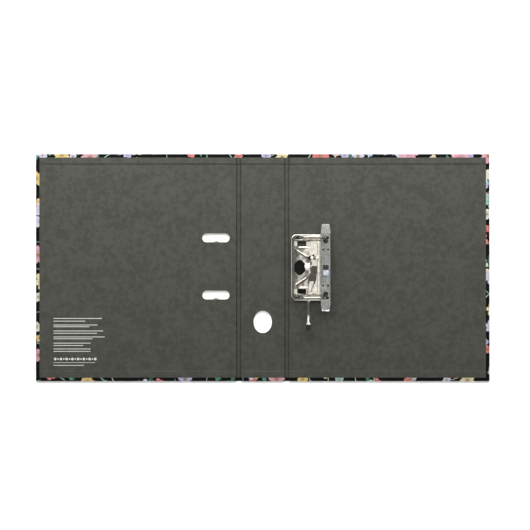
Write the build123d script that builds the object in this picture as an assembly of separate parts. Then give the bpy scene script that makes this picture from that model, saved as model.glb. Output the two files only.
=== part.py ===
"""Lever arch file for A4 paper, lying open and flat.

Frame: X runs from the front cover's fore edge to the back cover's, Y from foot to head, Z up.
The origin is the middle of the spine on the surface that the file lies on. Millimetres.
"""

import os
from collections import namedtuple
from math import sqrt

from build123d import *

# ---- case: three boards in a printed wrap, lined with paper
FILE_HEIGHT = 318.0
COVER_WIDTH = 280.5
SPINE_WIDTH = 61.0
GROOVE_WIDTH = 6.5
BOARD_THICKNESS = 2.0
WRAP_THICKNESS = 0.2
LINING_THICKNESS = 0.3
LINING_INSET = 5.0
TURN_IN = 14.0
FOLD_HEIGHT = 1.2

# ---- openings in the case and their metal rings
RING_SPACING = 80.0
SLOT_END_ROOM = 2.58
SLOT_WIDTH = 11.6
SLOT_SHIFT_X = 1.25
SLOT_SHIFT_Y = 1.6
FINGER_HOLE_WIDTH = 25.5
FINGER_HOLE_HEIGHT = 31.0
FINGER_HOLE_Y = -76.0
RING_WALL = 0.35
RING_FLANGE_THICKNESS = 0.3
SLOT_RING_FLANGE = 2.0
FINGER_RING_FLANGE = 3.0
NOSE_HALF_WIDTH = 4.5
NOSE_HEIGHT = 1.9

# ---- base plate of the mechanism
PLATE_FROM_GROOVE = 1.9
PLATE_PAST_RING = 7.0
PLATE_PAST_WIRE = 7.1
PLATE_PAST_POST = 7.2
PLATE_THICKNESS = 1.0
PLATE_GAP_UNDER = 2.0
PLATE_RIM_TAPER = 20.0
PLATE_CORNER = 5.0
PLATE_SMALL_CORNER = 1.6
PLATE_EDGE_R = 0.8
MIDDLE_WINDOW_WIDTH = 15.4
MIDDLE_WINDOW_LENGTH = 21.0
MIDDLE_WINDOW_CORNER = 5.6
MIDDLE_WINDOW_FROM_WIRE = 5.9
LANCE_LENGTH = 16.0
LANCE_WIDTH = 4.2
LANCE_Y = -2.0
LANCE_FROM_LEVER = 0.6
STREAK_LENGTH = 12.5
STREAK_WIDTH = 3.2
STREAK_TURN = 27.0
STREAK_FROM_CRANK = 4.6
STREAK_FROM_PIVOT = 2.6
BEARING_WINDOW_WIDTH = 11.2
BEARING_WINDOW_GAP = 0.4
BEARING_WINDOW_END_GAP = 0.2
RIDGE_WIDTH = 2.6
RIDGE_HEIGHT = 0.8
RIDGE_FROM_BEARING = 2.2
RIDGE_FROM_WIRE = 4.5
RIDGE_PAST_CRANK = 1.5
BEAD_WIDTH = 4.0
BEAD_HEIGHT = 0.8
BEAD_ROOT = 0.3
BEAD_TAPER = 35.0
BEAD_FROM_LUG = 2.2
BEAD_FROM_RING = 4.0
PAD_UNDER_WIRE = 3.0
PAD_PAST_LEVER = 2.0
PAD_LOW_Y = -37.5
PAD_PAST_PIVOT = 8.0
PAD_GAP = 0.5
PAD_CORNER = 3.0

# ---- tubular rivets through the plate and the back cover
RIVET_R = 1.8
RIVET_BORE_R = 1.0
RIVET_HEAD_R = 3.2
RIVET_HEAD = 0.8
RIVET_FOOT_R = 3.5
RIVET_FOOT = 0.5
RIVET_FROM_RIM = 5.4
RIVET_FROM_AXES = 12.5

# ---- arch wire, its bearings and its crank
WIRE_R = 2.0
WIRE_LIFT = 0.1
PIVOT_TO_POST = 41.5
CRANK_OFFSET = 16.0
CRANK_HALF_RUN = 14.0
CRANK_HALF_BASE = 24.6
WIRE_BEND_R = 3.0
CRANK_BEND_R = 4.0
ARCH_PROUD = 4.4
BEARING_LENGTH = 6.5
BEARING_FROM_RING = 3.5
BEARING_WALL = 1.0
RUNNING_FIT = 0.05
TIP_LENGTH = 1.2
TIP_END_R = 0.4

# ---- posts
POST_OVER_WIRE = 0.2
POST_COLLAR_R = 3.6
POST_COLLAR_HEIGHT = 1.5
POST_SHANK_R = 1.6
POST_TAIL_R = 3.0
POST_TAIL_THICKNESS = 1.2
POST_TIP_GAP = 0.3
POST_SEAT_IN_WIRE = 0.1
POST_SEAT_DEPTH = 1.4
POST_SEAT_END_R = 0.01

# ---- lever, its pivot and the roller
ROLLER_R = 5.0
ROLLER_WIDTH = 6.0
ROLLER_GAP = 0.3
ROLLER_Y = 1.4
ROLLER_PIN_R = 1.5
ROLLER_EDGE = 0.6
ROLLER_SIDE_GAP = 0.2
ROLLER_SHOULDER_R = 2.2
ROLLER_PIN_HEAD_R = 2.4
ROLLER_BOSS_R = 3.5
PIVOT_DY = 10.6
PIVOT_DZ = 10.0
PIVOT_PIN_R = 2.0
PIN_HEAD_R = 3.0
PIN_HEAD = 0.8
LEVER_SHEET = 1.2
LEVER_HEAD_WIDTH = 7.0
LEVER_BOSS_R = 4.2
LUG_HALF_WIDTH = 4.5
LUG_GAP = 0.3
LUG_FROM_CRANK = 5.1
ARM_DROP = 12.0
ARM_DEPTH = 5.4
LEVER_TIP_Y = -87.0
HEAD_END_Y = -16.0
TAPER_END_Y = -38.0
STEM_START_Y = -50.0
HEAD_START_Y = -4.5
HEAD_STEP = 1.6
HEEL_DROP = 2.0
CHEEK_STEP = 2.5
SHOULDER_FROM_PIVOT = 9.66
KNEE_FROM_ROLLER = 24.0
KNEE_STEP = 6.0
ARM_BEND_PAST_PLATE = 8.0
STEM_BEND_Y = -66.0
STEM_END_DROP = 1.6
STEM_END_DEPTH = 3.4
STEM_SHIFT = 0.2
STEM_WIDTH = 2.4
TAPER_LEFT = 1.0
TAPER_RIGHT = 6.0
CHANNEL_END_SHIFT = 0.8
FLARE_LENGTH = 4.0
TIP_WIDTH = 5.9
CAP_LENGTH = 8.0
CAP_DROP = 0.6
CAP_DEPTH = 4.6
CAP_CORNER = 2.4
CAP_EDGE = 0.9

# ---- compressor bar with its thumb button and grip plates
BAR_WIDTH = 13.5
BAR_PAST_RING = 7.0
BAR_TAB_LENGTH = 13.5
BAR_TAB_DROP = 2.2
BAR_TAB_END_WIDTH = 10.5
TAB_ROOT = 1.0
TAB_STRAIGHT = 5.0
TAB_STEP = 0.3
TAB_CORNER = 1.0
LIP_LENGTH = 1.6
LIP_RISE = 1.2
LIP_THICKNESS = 1.6
BAR_DEPTH = 5.0
BAR_SHEET = 1.0
BAR_GAP_UNDER = 0.1
POST_WINDOW_WIDTH = 7.0
POST_WINDOW_LENGTH = 10.0
POST_WINDOW_SHIFT = 1.5
BAR_HOLE_R = 1.5
BAR_HOLE_X = 3.4
BAR_HOLE_Y = 25.0
GRIP_THICKNESS = 1.2
GRIP_LIFT = 0.3
GRIP_TILT = 6.0
GRIP_PIVOT_FROM_POST = 5.0
GRIP_LENGTH = 14.0
GRIP_SIDE_GAP = 0.4
GRIP_HOLE_GAP = 0.25
BUTTON_TRAVEL = 1.5
BUTTON_GAP = 0.25
BUTTON_SHEET = 0.6
BUTTON_STEM = 1.0
BUTTON_RISE = 1.6
BUTTON_WIDTH = 7.5
BUTTON_LENGTH = 11.2
BUTTON_Y = -9.0
BUTTON_BELLY = 0.35
BUTTON_BELLY_SHIFT = 1.0
STRIP_SIDE_GAP = 1.5
STRIP_PAST_GRIP = 2.0
WINDOW_HIGH_Y = 3.6
SPRING_WIRE_R = 0.25
SPRING_COIL_R = 2.0
SPRING_TURNS = 3
STRAP_Y = 8.5
STRAP_LENGTH = 7.0
STRAP_THICKNESS = 0.8

# ---- worked out from the values above
HALF_HEIGHT = FILE_HEIGHT / 2
HALF_SPINE = SPINE_WIDTH / 2
COVER_NEAR = HALF_SPINE + GROOVE_WIDTH
HALF_FILE = COVER_NEAR + COVER_WIDTH
BOARD_TOP = WRAP_THICKNESS + BOARD_THICKNESS
TURN_TOP = BOARD_TOP + WRAP_THICKNESS
LINING_TOP = BOARD_TOP + LINING_THICKNESS
RING_Y = RING_SPACING / 2

PLATE_LEFT = COVER_NEAR + PLATE_FROM_GROOVE
WIRE_X = PLATE_LEFT + PLATE_PAST_WIRE
POST_X = WIRE_X + PIVOT_TO_POST
PLATE_RIGHT = POST_X + PLATE_PAST_POST
HALF_PLATE = RING_Y + PLATE_PAST_RING
PLATE_TOP = LINING_TOP + PLATE_GAP_UNDER + PLATE_THICKNESS

WIRE_Z = PLATE_TOP + WIRE_R + WIRE_LIFT
CRANK_X = WIRE_X + CRANK_OFFSET
POST_R = WIRE_R + POST_OVER_WIRE
POST_SEAT_R = WIRE_R - POST_SEAT_IN_WIRE
ARCH_R = PIVOT_TO_POST / 2
CLOSED_OUTSIDE = SPINE_WIDTH + GROOVE_WIDTH + 2 * FOLD_HEIGHT
CLOSED_INSIDE = CLOSED_OUTSIDE - LINING_TOP
ARCH_TOP_Z = CLOSED_OUTSIDE + ARCH_PROUD
ARCH_SPRING_Z = ARCH_TOP_Z - ARCH_R - WIRE_R
POST_TOP = ARCH_SPRING_Z - POST_TIP_GAP

ARCH_IN_SLOT = sqrt((ARCH_R + WIRE_R) ** 2 - (CLOSED_INSIDE - ARCH_SPRING_Z) ** 2)
SLOT_LENGTH = 2 * (ARCH_IN_SLOT + SLOT_END_ROOM)
SLOT_X = SLOT_SHIFT_X - (WIRE_X + ARCH_R)

ROLLER_Z = WIRE_Z + WIRE_R + ROLLER_GAP + ROLLER_R
PIVOT_Y = ROLLER_Y + PIVOT_DY
PIVOT_Z = ROLLER_Z + PIVOT_DZ
LUG_LEFT = CRANK_X + LUG_FROM_CRANK - BEARING_WALL
LEVER_LEFT = LUG_LEFT + BEARING_WALL + LUG_GAP
LEVER_RIGHT = LEVER_LEFT + LEVER_HEAD_WIDTH
LUG_RIGHT = LEVER_RIGHT + LUG_GAP + BEARING_WALL
ARM_TOP = PIVOT_Z - ARM_DROP
ARM_BOTTOM = ARM_TOP - ARM_DEPTH
STEM_LEFT = CRANK_X + STEM_SHIFT
STEM_RIGHT = STEM_LEFT + STEM_WIDTH
STEM_MIDDLE = STEM_LEFT + STEM_WIDTH / 2
STEM_END_Y = LEVER_TIP_Y + CAP_LENGTH
LEVER_BACK = PIVOT_Y + 2 * LEVER_BOSS_R

BAR_LEFT = POST_X - BAR_WIDTH / 2
BAR_RIGHT = POST_X + BAR_WIDTH / 2
BAR_HALF_LENGTH = RING_Y + BAR_PAST_RING
BAR_BOTTOM = PLATE_TOP + POST_COLLAR_HEIGHT + BAR_GAP_UNDER
BAR_TOP = BAR_BOTTOM + BAR_DEPTH
GRIP_Z = BAR_BOTTOM + GRIP_THICKNESS / 2 + GRIP_LIFT
BUTTON_LEFT = POST_X - BUTTON_WIDTH / 2
BUTTON_RIGHT = POST_X + BUTTON_WIDTH / 2
STRIP_TOP = BAR_TOP - BAR_SHEET - BUTTON_GAP
STRIP_LOW = STRIP_TOP - BUTTON_SHEET

Panel = namedtuple("Panel", "low high fore_low fore_high")
BACK = Panel(COVER_NEAR, HALF_FILE, False, True)
SPINE = Panel(-HALF_SPINE, HALF_SPINE, False, False)
FRONT = Panel(-HALF_FILE, -COVER_NEAR, True, False)


def block(x0, x1, y0, y1, z0, z1):
    """Box between its low and high faces."""
    return Pos(x0, y0, z0) * Box(x1 - x0, y1 - y0, z1 - z0, align=(Align.MIN,) * 3)


def prism_x(profile, x0, x1):
    """Outline drawn in Y and Z, run from x0 to x1."""
    return extrude(Plane.YZ.offset(x0) * profile, amount=x1 - x0)


def prism_y(profile, y0, y1):
    """Outline drawn in X and Z, run from y0 to y1."""
    return extrude(Plane.XZ.offset(-y1) * profile, amount=y1 - y0)


def prism_z(outline, z0, z1):
    """Outline drawn in X and Y, run from z0 to z1."""
    return extrude(Pos(0, 0, z0) * outline, amount=z1 - z0)


def rod_x(x0, x1, y, z, r):
    """Round bar along X."""
    return prism_x(Pos(y, z) * Circle(r), x0, x1)


def rod_z(x, y, z0, z1, r):
    """Round bar along Z."""
    return prism_z(Pos(x, y) * Circle(r), z0, z1)


def polygon(*points):
    """Filled outline through points."""
    return make_face(Polyline(*points, close=True))


# ---- case


def across(panel, inset):
    """Low and high X of a panel whose fore edge is moved in by inset."""
    return panel.low + inset * panel.fore_low, panel.high - inset * panel.fore_high


def board(panel):
    """Greyboard of one panel."""
    x0, x1 = across(panel, WRAP_THICKNESS)
    half = HALF_HEIGHT - WRAP_THICKNESS
    return block(x0, x1, -half, half, WRAP_THICKNESS, BOARD_TOP)


def wrap(panel):
    """Paper under the board, up its edges and TURN_IN over its inside face."""
    x0, x1 = across(panel, 0)
    paper = block(x0, x1, -HALF_HEIGHT, HALF_HEIGHT, 0, TURN_TOP) - board(panel)
    x0, x1 = across(panel, TURN_IN)
    half = HALF_HEIGHT - TURN_IN
    return paper - block(x0, x1, -half, half, BOARD_TOP, TURN_TOP)


def lining(panel):
    """Paper on the board that steps up over the wrap's turned-in edges."""
    x0, x1 = across(panel, LINING_INSET)
    half = HALF_HEIGHT - LINING_INSET
    raised = block(x0, x1, -half, half, TURN_TOP, TURN_TOP + LINING_THICKNESS)
    x0, x1 = across(panel, TURN_IN + LINING_THICKNESS)
    half = HALF_HEIGHT - TURN_IN
    raised -= block(x0, x1, LINING_THICKNESS - half, half - LINING_THICKNESS, TURN_TOP, TURN_IN)
    x0, x1 = across(panel, TURN_IN)
    return raised + block(x0, x1, -half, half, BOARD_TOP, LINING_TOP)


def slot_outline(extra=0.0):
    """Slot for an arch, grown by extra all round."""
    return SlotOverall(SLOT_LENGTH + 2 * extra, SLOT_WIDTH + 2 * extra)


def finger_outline(extra=0.0):
    """Finger hole, grown by extra all round."""
    return Ellipse(FINGER_HOLE_WIDTH / 2 + extra, FINGER_HOLE_HEIGHT / 2 + extra)


def slot_places():
    """Middles of the head slot and the foot slot."""
    return [Pos(SLOT_X, side * RING_Y + SLOT_SHIFT_Y) for side in (1, -1)]


def finger_place():
    """Middle of the finger hole."""
    return Pos(0, FINGER_HOLE_Y)


def ring_room(outline, place, flange):
    """What a ring takes out of the case: its barrel through it and its flange's recess under it."""
    barrel = prism_z(place * outline(RING_WALL), 0, TURN_TOP + LINING_THICKNESS)
    return barrel + prism_z(place * outline(flange), 0, RING_FLANGE_THICKNESS)


def ring(outline, place, flange):
    """Metal ring: a barrel through the case with a flange let in flush on the outside."""
    solid = prism_z(place * outline(RING_WALL), 0, LINING_TOP)
    solid += prism_z(place * outline(flange), 0, RING_FLANGE_THICKNESS)
    return solid - prism_z(place * outline(), 0, LINING_TOP)


def slot_ring(place):
    """Slot ring with the nose that clicks past an arch."""
    nose = Pos(0, -SLOT_WIDTH / 2) * Ellipse(NOSE_HALF_WIDTH, NOSE_HEIGHT)
    nose = prism_z(place * (nose & slot_outline()), RING_FLANGE_THICKNESS, LINING_TOP)
    return ring(slot_outline, place, SLOT_RING_FLANGE) + nose


def groove_wrap(x0, x1):
    """Wrap across a groove, with its turned-in ends."""
    strip = block(x0, x1, -HALF_HEIGHT, HALF_HEIGHT, 0, WRAP_THICKNESS)
    for side in (1, -1):
        middle = side * (HALF_HEIGHT - TURN_IN / 2)
        half = TURN_IN / 2
        strip += block(x0, x1, middle - half, middle + half, 0, 2 * WRAP_THICKNESS)
    return strip


def groove_lining(x0, x1):
    """Lining that dips into a groove and up its two board edges."""
    half = HALF_HEIGHT - LINING_INSET
    low = 2 * WRAP_THICKNESS
    dip = block(x0, x1, -half, half, low, LINING_TOP)
    wall = LINING_THICKNESS
    return dip - block(x0 + wall, x1 - wall, -half, half, low + wall, LINING_TOP)


# ---- mechanism, fixed pieces


def plate_outline():
    """Base plate from above, its spine-side corners cut off more than the others."""
    small = PLATE_SMALL_CORNER
    left, right, half = PLATE_LEFT, PLATE_RIGHT, HALF_PLATE
    return polygon(
        (left, PLATE_CORNER - half),
        (left + PLATE_CORNER, -half),
        (right - small, -half),
        (right, small - half),
        (right, half - small),
        (right - small, half),
        (left + PLATE_CORNER, half),
        (left, half - PLATE_CORNER),
    )


def rivet_places():
    """X and Y of the four rivets."""
    x_near = WIRE_X + RIVET_FROM_AXES
    x_far = POST_X - RIVET_FROM_AXES
    y = HALF_PLATE - RIVET_FROM_RIM
    return [(x, side * y) for x in (x_near, x_far) for side in (1, -1)]


def bearing_band(side):
    """Low and high Y of the wire bearing near one arch."""
    far = RING_Y - BEARING_FROM_RING
    return sorted((side * far, side * (far - BEARING_LENGTH)))


def octagon(width, height, cut):
    """Rectangle with its four corners cut off."""
    x, y = width / 2, height / 2
    corners = [(x, y - cut), (x - cut, y), (cut - x, y), (-x, y - cut)]
    return polygon(*corners, *[(-a, -b) for a, b in corners])


def plate_windows():
    """Openings pressed out of the plate's flat."""
    middle = octagon(MIDDLE_WINDOW_WIDTH, MIDDLE_WINDOW_LENGTH, MIDDLE_WINDOW_CORNER)
    windows = prism_z(Pos(WIRE_X + MIDDLE_WINDOW_FROM_WIRE, 0) * middle, 0, PLATE_TOP)
    lance = SlotOverall(LANCE_LENGTH, LANCE_WIDTH, rotation=90)
    windows += prism_z(Pos(LEVER_RIGHT - LANCE_FROM_LEVER, LANCE_Y) * lance, 0, PLATE_TOP)
    streak = SlotOverall(STREAK_LENGTH, STREAK_WIDTH, rotation=STREAK_TURN)
    place = Pos(CRANK_X + STREAK_FROM_CRANK, PIVOT_Y + STREAK_FROM_PIVOT)
    windows += prism_z(place * streak, 0, PLATE_TOP)
    x0 = WIRE_X + WIRE_R + BEARING_WALL + BEARING_WINDOW_GAP
    x1 = x0 + BEARING_WINDOW_WIDTH
    for side in (1, -1):
        y0, y1 = bearing_band(side)
        y0, y1 = y0 - BEARING_WINDOW_END_GAP, y1 + BEARING_WINDOW_END_GAP
        windows += block(x0, x1, y0, y1, 0, PLATE_TOP)
    return windows


def wire_bearing(side):
    """Strip bent up over the wire and down again."""
    inner = WIRE_R + RUNNING_FIT
    outer = inner + BEARING_WALL
    root = PLATE_THICKNESS / 2
    drop = WIRE_Z - PLATE_TOP + root
    legs = Pos(WIRE_X, WIRE_Z - drop / 2)
    strip = Pos(WIRE_X, WIRE_Z) * Circle(outer) + legs * Rectangle(2 * outer, drop)
    strip -= Pos(WIRE_X, WIRE_Z) * Circle(inner) + legs * Rectangle(2 * inner, drop)
    strip &= Pos(WIRE_X, PLATE_TOP - root + outer * 2) * Rectangle(4 * outer, 4 * outer)
    return prism_y(strip, *bearing_band(side))


def lever_lug(x0):
    """Ear that stands up from the plate and holds one end of the lever's pin."""
    root = PLATE_TOP - PLATE_THICKNESS / 2
    height = PIVOT_Z - root
    ear = Pos(PIVOT_Y, PIVOT_Z) * Circle(LUG_HALF_WIDTH)
    ear += Pos(PIVOT_Y, root + height / 2) * Rectangle(2 * LUG_HALF_WIDTH, height)
    ear -= Pos(PIVOT_Y, PIVOT_Z) * Circle(PIVOT_PIN_R)
    return prism_x(ear, x0, x0 + BEARING_WALL)


def ridge(x0, x1, y, width, height):
    """Low rounded stiffening ridge along X."""
    r = (height**2 + width**2 / 4) / (2 * height)
    bar = rod_x(x0, x1, y, PLATE_TOP + height - r, r)
    root = PLATE_TOP - PLATE_THICKNESS / 2
    return bar & block(x0, x1, y - width, y + width, root, PLATE_TOP + height)


def plate_pressing():
    """Ridges beside the bearings and the long bead behind the lugs."""
    solid = []
    for side in (1, -1):
        y = side * (RING_Y - BEARING_FROM_RING - BEARING_LENGTH - RIDGE_FROM_BEARING)
        x0, x1 = WIRE_X + RIDGE_FROM_WIRE, CRANK_X + RIDGE_PAST_CRANK
        solid.append(ridge(x0, x1, y, RIDGE_WIDTH, RIDGE_HEIGHT))
    bead = SlotOverall(2 * (RING_Y - BEAD_FROM_RING), BEAD_WIDTH, rotation=90)
    bead = Pos(LUG_RIGHT + BEAD_FROM_LUG, 0, PLATE_TOP - BEAD_ROOT) * bead
    return solid + [extrude(bead, amount=BEAD_ROOT + BEAD_HEIGHT, taper=BEAD_TAPER)]


def base_plate():
    """Pressed plate with its bearings, lugs, windows and holes."""
    outline = plate_outline()
    rise = PLATE_TOP - LINING_TOP
    plate = extrude(Pos(0, 0, LINING_TOP) * outline, amount=rise, taper=PLATE_RIM_TAPER)
    plate = fillet(plate.edges().group_by(Axis.Z)[-1], PLATE_EDGE_R)
    hollow = Pos(0, 0, LINING_TOP) * offset(outline, -PLATE_THICKNESS, kind=Kind.INTERSECTION)
    plate -= extrude(hollow, amount=PLATE_GAP_UNDER, taper=PLATE_RIM_TAPER)
    plate += plate_pressing()
    plate -= plate_windows()
    for side in (1, -1):
        plate += wire_bearing(side)
    plate += lever_lug(LUG_LEFT) + lever_lug(LUG_RIGHT - BEARING_WALL)
    for x, y in rivet_places():
        plate -= rod_z(x, y, 0, PIVOT_Z, RIVET_R)
    for side in (1, -1):
        plate -= rod_z(POST_X, side * RING_Y, 0, PLATE_TOP, POST_SHANK_R)
    return plate


def rivet_room():
    """What the four rivets take out of the back cover."""
    room = []
    for x, y in rivet_places():
        hole = rod_z(x, y, 0, TURN_IN, RIVET_R)
        room.append(hole + rod_z(x, y, 0, RIVET_FOOT, RIVET_FOOT_R))
    return room


def mounting_rivets():
    """Four tubular rivets, flush with the outside of the cover."""
    rivets = []
    for x, y in rivet_places():
        rivet = rod_z(x, y, 0, PLATE_TOP + RIVET_HEAD, RIVET_R)
        rivet += rod_z(x, y, 0, RIVET_FOOT, RIVET_FOOT_R)
        head = rod_z(x, y, PLATE_TOP, PLATE_TOP + RIVET_HEAD, RIVET_HEAD_R)
        rivet += chamfer(head.edges().group_by(Axis.Z)[-1], RIVET_HEAD / 2)
        rivets.append(rivet - rod_z(x, y, 0, PLATE_TOP + RIVET_HEAD, RIVET_BORE_R))
    return rivets


def damping_pad():
    """Pad between plate and cover, behind the plate's middle windows."""
    x0, x1 = WIRE_X - PAD_UNDER_WIRE, LEVER_RIGHT + PAD_PAST_LEVER
    top = LINING_TOP + PLATE_GAP_UNDER - PAD_GAP
    pad = block(x0, x1, PAD_LOW_Y, PIVOT_Y + PAD_PAST_PIVOT, LINING_TOP, top)
    return fillet(pad.edges().filter_by(Axis.Z), PAD_CORNER)


def post(side):
    """Post with a collar on the plate, a tail riveted under it and a seat for the arch's tip."""
    x, y = POST_X, side * RING_Y
    under = PLATE_TOP - PLATE_THICKNESS
    solid = rod_z(x, y, PLATE_TOP, POST_TOP, POST_R)
    solid += rod_z(x, y, PLATE_TOP, PLATE_TOP + POST_COLLAR_HEIGHT, POST_COLLAR_R)
    solid += rod_z(x, y, under, PLATE_TOP, POST_SHANK_R)
    solid += rod_z(x, y, under - POST_TAIL_THICKNESS, under, POST_TAIL_R)
    seat = Cone(POST_SEAT_END_R, POST_SEAT_R, POST_SEAT_DEPTH)
    return solid - Pos(x, y, POST_TOP - POST_SEAT_DEPTH / 2) * seat


# ---- arch wire


def arch_half():
    """Wire from the middle of the crank to the head arch's tip."""
    corners = [
        (CRANK_X, 0, WIRE_Z),
        (CRANK_X, CRANK_HALF_RUN, WIRE_Z),
        (WIRE_X, CRANK_HALF_BASE, WIRE_Z),
        (WIRE_X, RING_Y, WIRE_Z),
        (WIRE_X, RING_Y, ARCH_SPRING_Z),
    ]
    low = FilletPolyline(*corners, radius=[CRANK_BEND_R, CRANK_BEND_R, WIRE_BEND_R])
    crown = (WIRE_X + ARCH_R, RING_Y, ARCH_SPRING_Z + ARCH_R)
    arch = ThreePointArc(corners[-1], crown, (POST_X, RING_Y, ARCH_SPRING_Z))
    path = Wire(low.edges() + arch.edges())
    start = Plane(origin=corners[0], z_dir=(0, 1, 0))
    wire = sweep(start * Circle(WIRE_R), path=path)
    tip = Cone(TIP_END_R, WIRE_R, TIP_LENGTH)
    return wire + Pos(POST_X, RING_Y, ARCH_SPRING_Z - TIP_LENGTH / 2) * tip


def arch_wire():
    """Both arches with the crank between them, bent from one wire."""
    half = arch_half()
    return half + mirror(half, about=Plane.XZ)


# ---- lever


def lever_side():
    """Lever in Y and Z: pivot boss, roller boss and the low arm."""
    knee_y = ROLLER_Y - KNEE_FROM_ROLLER
    end_top = ARM_TOP - STEM_END_DROP
    side = polygon(
        (PIVOT_Y + LEVER_BOSS_R, PIVOT_Z),
        (PIVOT_Y, PIVOT_Z + LEVER_BOSS_R),
        (PIVOT_Y - SHOULDER_FROM_PIVOT, PIVOT_Z + LEVER_BOSS_R / 2),
        (knee_y, ARM_TOP),
        (-HALF_PLATE, ARM_TOP),
        (STEM_BEND_Y, end_top),
        (STEM_END_Y, end_top),
        (STEM_END_Y, end_top - STEM_END_DEPTH),
        (-HALF_PLATE - ARM_BEND_PAST_PLATE, ARM_BOTTOM),
        (knee_y + KNEE_STEP, ARM_BOTTOM),
        (ROLLER_Y + CHEEK_STEP, ROLLER_Z - CHEEK_STEP),
        (PIVOT_Y + LEVER_BOSS_R, PIVOT_Z - HEEL_DROP),
    )
    side += Pos(PIVOT_Y, PIVOT_Z) * Circle(LEVER_BOSS_R)
    return side + Pos(ROLLER_Y, ROLLER_Z) * Circle(ROLLER_BOSS_R)


def lever_plan():
    """Lever from above: wide between the lugs, tapering to a thin stem."""
    flare = STEM_END_Y + FLARE_LENGTH
    return polygon(
        (LEVER_LEFT, LEVER_BACK),
        (LEVER_LEFT, HEAD_START_Y),
        (CRANK_X + HEAD_STEP, HEAD_END_Y),
        (CRANK_X + TAPER_LEFT, TAPER_END_Y),
        (STEM_LEFT, STEM_START_Y),
        (STEM_LEFT, flare),
        (STEM_MIDDLE - TIP_WIDTH / 2, STEM_END_Y),
        (STEM_MIDDLE + TIP_WIDTH / 2, STEM_END_Y),
        (STEM_RIGHT, flare),
        (STEM_RIGHT, STEM_START_Y),
        (CRANK_X + TAPER_RIGHT, TAPER_END_Y),
        (LEVER_RIGHT, HEAD_END_Y),
        (LEVER_RIGHT, LEVER_BACK),
    )


def lever_channel():
    """Room between the lever's cheeks, from above."""
    end = TAPER_END_Y + FLARE_LENGTH
    return polygon(
        (LEVER_LEFT + LEVER_SHEET, LEVER_BACK),
        (LEVER_LEFT + LEVER_SHEET, HEAD_START_Y),
        (CRANK_X + HEAD_STEP + LEVER_SHEET, HEAD_END_Y),
        (CRANK_X + TAPER_LEFT + LEVER_SHEET, end),
        (CRANK_X + TAPER_RIGHT + CHANNEL_END_SHIFT - LEVER_SHEET, end),
        (LEVER_RIGHT - LEVER_SHEET, HEAD_END_Y),
        (LEVER_RIGHT - LEVER_SHEET, LEVER_BACK),
    )


def lever_arm():
    """Pressed lever: a channel open downwards that closes up into the stem."""
    side = lever_side()
    x0, x1 = CRANK_X - ROLLER_R, LUG_RIGHT
    body = prism_x(side, x0, x1) & prism_z(lever_plan(), 0, ARCH_TOP_Z)
    lowered = Pos(0, 0, -LEVER_SHEET) * prism_x(side, x0, x1)
    below = block(x0, x1, -HALF_PLATE, LEVER_BACK, 0, ROLLER_Z)
    behind = block(x0, x1, PIVOT_Y - PIN_HEAD, LEVER_BACK, 0, PIVOT_Z + LEVER_BOSS_R)
    body -= prism_z(lever_channel(), 0, ARCH_TOP_Z) & (lowered + below + behind)
    body -= rod_x(x0, x1, PIVOT_Y, PIVOT_Z, PIVOT_PIN_R + RUNNING_FIT)
    return body - rod_x(x0, LEVER_LEFT + LEVER_SHEET, ROLLER_Y, ROLLER_Z, ROLLER_PIN_R)


def lever_cap():
    """Moulded grip on the lever's tip."""
    left, right = STEM_MIDDLE - TIP_WIDTH / 2, STEM_MIDDLE + TIP_WIDTH / 2
    top = ARM_TOP - CAP_DROP
    cap = block(left, right, LEVER_TIP_Y, STEM_END_Y, top - CAP_DEPTH, top)
    cap = fillet(cap.edges().filter_by(Axis.Z).group_by(Axis.Y)[0], CAP_CORNER)
    return fillet(cap.edges().group_by(Axis.Z)[-1], CAP_EDGE)


def lever_pivot_pin():
    """Pin through both lugs, a head at each end."""
    left, right = LUG_LEFT, LUG_RIGHT
    pin = rod_x(left - PIN_HEAD, right + PIN_HEAD, PIVOT_Y, PIVOT_Z, PIVOT_PIN_R)
    for x in (left - PIN_HEAD, right):
        pin += rod_x(x, x + PIN_HEAD, PIVOT_Y, PIVOT_Z, PIN_HEAD_R)
    return pin


def roller_pin():
    """Pin riveted in the lever's near cheek that carries the roller."""
    head = CRANK_X - ROLLER_WIDTH / 2 - ROLLER_SIDE_GAP
    shoulder = CRANK_X + ROLLER_WIDTH / 2 + ROLLER_SIDE_GAP
    pin = rod_x(head, LEVER_LEFT + LEVER_SHEET, ROLLER_Y, ROLLER_Z, ROLLER_PIN_R)
    pin += rod_x(shoulder, LEVER_LEFT, ROLLER_Y, ROLLER_Z, ROLLER_SHOULDER_R)
    return pin + rod_x(head - PIN_HEAD, head, ROLLER_Y, ROLLER_Z, ROLLER_PIN_HEAD_R)


def roller():
    """Wheel that presses on the crank."""
    x0, x1 = CRANK_X - ROLLER_WIDTH / 2, CRANK_X + ROLLER_WIDTH / 2
    wheel = rod_x(x0, x1, ROLLER_Y, ROLLER_Z, ROLLER_R)
    wheel = fillet(wheel.edges().filter_by(GeomType.CIRCLE), ROLLER_EDGE)
    return wheel - rod_x(x0, x1, ROLLER_Y, ROLLER_Z, ROLLER_PIN_R + RUNNING_FIT)


# ---- compressor


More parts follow.
